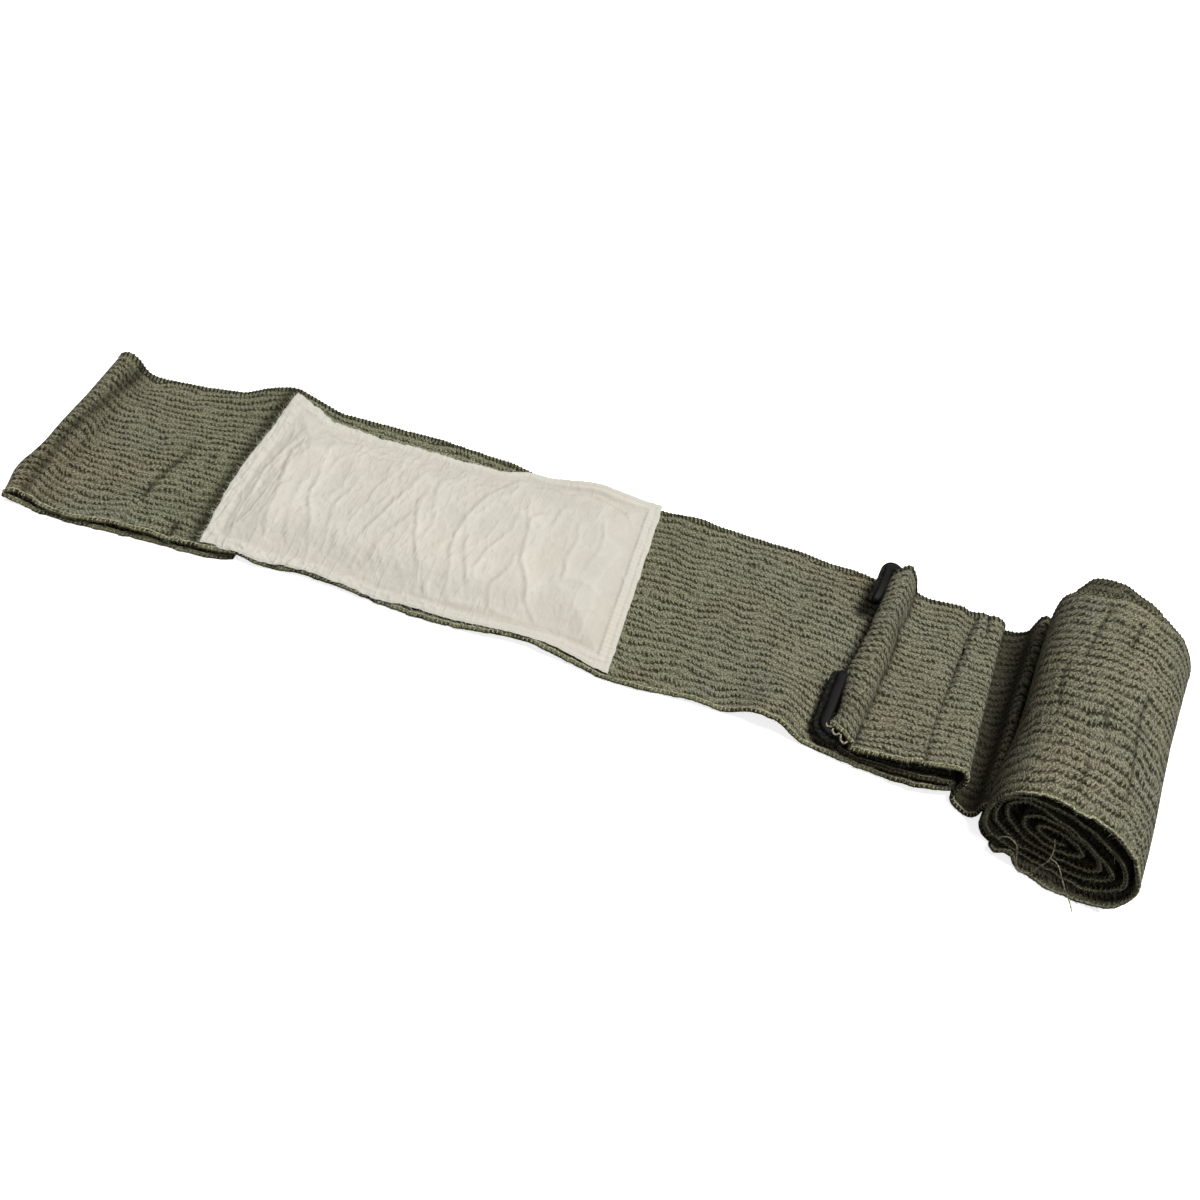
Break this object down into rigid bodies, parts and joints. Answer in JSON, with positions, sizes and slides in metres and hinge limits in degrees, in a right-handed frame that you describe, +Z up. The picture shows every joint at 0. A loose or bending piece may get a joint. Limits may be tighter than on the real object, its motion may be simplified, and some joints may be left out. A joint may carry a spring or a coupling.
{
  "type": "trauma bandage",
  "caption": "Partly unrolled elastic trauma bandage: a crowned dressing pad on a wrap strip, a plastic pressure clip in a folded sleeve, and the rest of the wrap in a loose roll.",
  "frame": {"origin": "on the surface that the bandage lies on, under the middle of its box", "axes": "+Z up from the surface, +X along the dressing pad towards the roll, +Y towards the far long edge"},
  "size_m": [0.4884, 0.1334, 0.0465],
  "materials": {
    "wrap": "matt elastic cloth in olive grey with dark broken lines along its length",
    "pad": "matt off-white nonwoven cover, softly wrinkled",
    "clip": "satin black moulded plastic"
  },
  "bodies": {
    "root": {"wrap_loose_end": "wrap", "wrap_roll": "wrap", "dressing_pad": "pad", "pressure_clip": "clip"}
  },
  "joints": []
}
